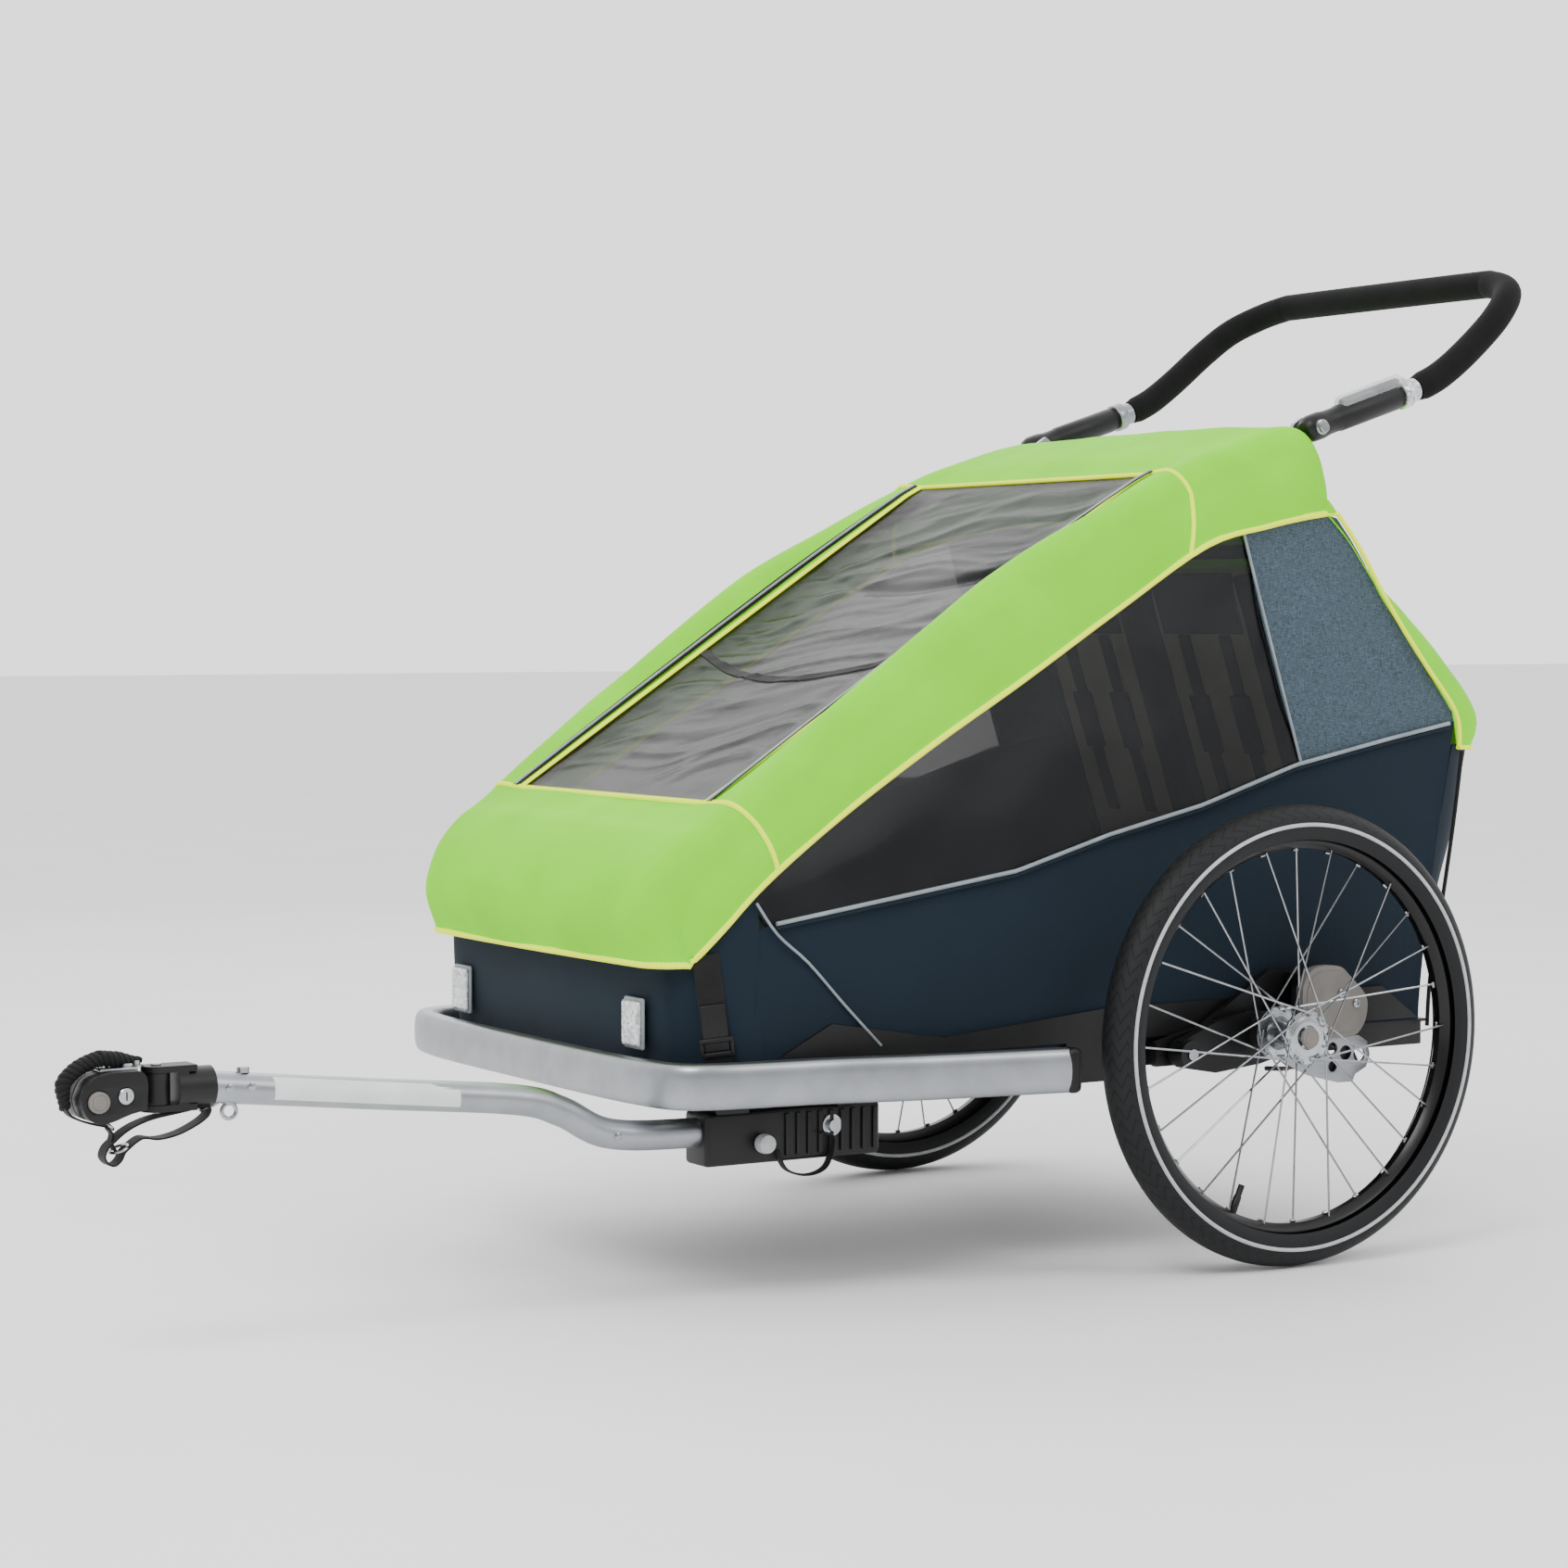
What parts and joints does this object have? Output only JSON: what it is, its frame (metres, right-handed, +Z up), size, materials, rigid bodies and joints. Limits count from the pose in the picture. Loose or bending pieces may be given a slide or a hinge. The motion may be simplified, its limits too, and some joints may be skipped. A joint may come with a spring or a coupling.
{
  "type": "child bicycle trailer",
  "caption": "Two-seat child bicycle trailer with folding fabric cabin, sprung spoked wheels, swinging push bar and a drawbar with a two-axis hitch.",
  "frame": {"origin": "on the ground under the middle of the whole trailer, drawbar and push bar included", "axes": "+Y backwards along the trailer, +X to its left side where the drawbar is, +Z up"},
  "size_m": [0.84, 1.7741, 1.0891],
  "materials": {
    "alloy": "satin anodised",
    "black_tube": "satin powder coat",
    "steel": "polished",
    "lime_fabric": "coated polyester",
    "navy_fabric": "woven polyester",
    "seat_fabric": "mesh knit",
    "screen_mesh": "fine mesh",
    "window_film": "tinted film",
    "webbing": "woven webbing",
    "black_plastic": "moulded",
    "grey_plastic": "moulded",
    "red_plastic": "moulded",
    "clear_plastic": "prismatic",
    "foam": "closed-cell foam",
    "pad_rubber": "elastomer",
    "tyre": "ribbed",
    "rim_black": "anodised black"
  },
  "bodies": {
    "chassis": {"side_rails": "black_tube", "crossbars": "black_tube", "floor_pan": "black_plastic", "front_bumper": "alloy", "bumper_caps": "black_plastic", "bumper_brackets": "black_plastic", "front_reflectors": "clear_plastic", "rear_reflectors": "red_plastic", "side_panels": "navy_fabric", "front_panel": "navy_fabric", "rear_wall": "navy_fabric", "luggage_pocket": "navy_fabric", "side_windows": "window_film", "rear_cover": "lime_fabric", "seat_cushions": "seat_fabric", "side_skirts": "black_plastic", "hinge_brackets": "black_tube", "hinge_pins": "steel", "suspension_brackets": "black_tube", "suspension_covers": "grey_plastic", "left_suspension_pad": "pad_rubber", "right_suspension_pad": "pad_rubber", "drawbar_socket": "black_plastic", "drawbar_tube": "alloy", "drawbar_bolts": "steel", "drawbar_fork": "black_plastic", "webbing_strap": "webbing", "hem_straps": "webbing", "rear_bungees": "webbing", "brake_cables": "black_plastic"},
    "roof_frame": {"roof_tubes": "black_tube", "canopy": "lime_fabric", "front_screen": "screen_mesh", "handle_brackets": "alloy"},
    "rear_frame": {"seat_uprights": "black_tube", "seat_backs": "seat_fabric"},
    "push_bar": {"bar_sleeves": "black_plastic", "bar_grip": "foam", "bar_light": "clear_plastic"},
    "left_swing_arm": {"left_swing_arm": "black_tube", "left_axle": "steel"},
    "right_swing_arm": {"right_swing_arm": "black_tube", "right_axle": "steel"},
    "left_wheel": {"left_tyre": "tyre", "left_rim": "rim_black", "left_spokes": "steel", "left_hub": "alloy"},
    "right_wheel": {"right_tyre": "tyre", "right_rim": "rim_black", "right_spokes": "steel", "right_hub": "alloy"},
    "left_axle_button": {"left_axle_button": "grey_plastic"},
    "right_axle_button": {"right_axle_button": "grey_plastic"},
    "hitch_knuckle": {"hitch_knuckle": "black_tube"},
    "hitch": {"hitch_body": "black_plastic", "safety_strap": "webbing"},
    "hitch_button": {"hitch_button": "grey_plastic"},
    "hitch_lock": {"hitch_lock": "alloy"},
    "drawbar_pin": {"drawbar_pin": "steel"},
    "brake_pedal": {"brake_pedal": "red_plastic"}
  },
  "joints": [
    {"name": "roof_fold", "type": "hinge", "parent": "chassis", "child": "roof_frame", "pos_m": [0, -0.21678, 0.3], "axis": [1, 0, 0], "range_deg": [-33, 0], "deforming": ["side_windows", "rear_cover", "luggage_pocket"]},
    {"name": "seat_fold", "type": "hinge", "parent": "chassis", "child": "rear_frame", "pos_m": [0, 0.67522, 0.33], "axis": [1, 0, 0], "range_deg": [0, 71]},
    {"name": "push_bar_swing", "type": "hinge", "parent": "roof_frame", "child": "push_bar", "pos_m": [0, 0.54322, 0.894], "axis": [1, 0, 0], "range_deg": [-35, 60]},
    {"name": "left_suspension", "type": "hinge", "parent": "chassis", "child": "left_swing_arm", "pos_m": [0, 0.32822, 0.225], "axis": [1, 0, 0], "range_deg": [0, 6], "stiffness_Nm_per_rad": 400, "springref_deg": -3.44, "deforming": ["left_suspension_pad"]},
    {"name": "right_suspension", "type": "hinge", "parent": "chassis", "child": "right_swing_arm", "pos_m": [0, 0.32822, 0.225], "axis": [1, 0, 0], "range_deg": [0, 6], "stiffness_Nm_per_rad": 400, "springref_deg": -3.44, "deforming": ["right_suspension_pad"]},
    {"name": "left_wheel_spin", "type": "hinge", "parent": "left_swing_arm", "child": "left_wheel", "pos_m": [0.39, 0.42322, 0.245], "axis": [1, 0, 0], "continuous": true},
    {"name": "right_wheel_spin", "type": "hinge", "parent": "right_swing_arm", "child": "right_wheel", "pos_m": [-0.39, 0.42322, 0.245], "axis": [1, 0, 0], "continuous": true},
    {"name": "left_axle_release", "type": "slide", "parent": "left_swing_arm", "child": "left_axle_button", "axis": [-1, 0, 0], "range_m": [0, 0.004], "stiffness_N_per_m": 600, "springref_m": -0.002},
    {"name": "right_axle_release", "type": "slide", "parent": "right_swing_arm", "child": "right_axle_button", "axis": [1, 0, 0], "range_m": [0, 0.004], "stiffness_N_per_m": 600, "springref_m": -0.002},
    {"name": "hitch_yaw", "type": "hinge", "parent": "chassis", "child": "hitch_knuckle", "pos_m": [0.25, -0.79278, 0.256], "axis": [0, 0, 1], "range_deg": [-70, 70]},
    {"name": "hitch_roll", "type": "hinge", "parent": "hitch_knuckle", "child": "hitch", "pos_m": [0.25, -0.79278, 0.256], "axis": [0, 1, 0], "range_deg": [-75, 75]},
    {"name": "hitch_release", "type": "slide", "parent": "hitch", "child": "hitch_button", "axis": [-1, 0, 0], "range_m": [0, 0.003], "stiffness_N_per_m": 600, "springref_m": -0.002},
    {"name": "hitch_key_turn", "type": "hinge", "parent": "hitch", "child": "hitch_lock", "pos_m": [0.276, -0.83078, 0.254], "axis": [1, 0, 0], "range_deg": [0, 90]},
    {"name": "drawbar_pin_pull", "type": "slide", "parent": "chassis", "child": "drawbar_pin", "axis": [1, 0, 0], "range_m": [0, 0.055]},
    {"name": "brake_pedal_press", "type": "hinge", "parent": "chassis", "child": "brake_pedal", "pos_m": [0, 0.69872, 0.223], "axis": [1, 0, 0], "range_deg": [-22, 0]}
  ],
  "couplings": [
    {"joint": "seat_fold", "follows": "roof_fold", "ratio": -2.15}
  ]
}
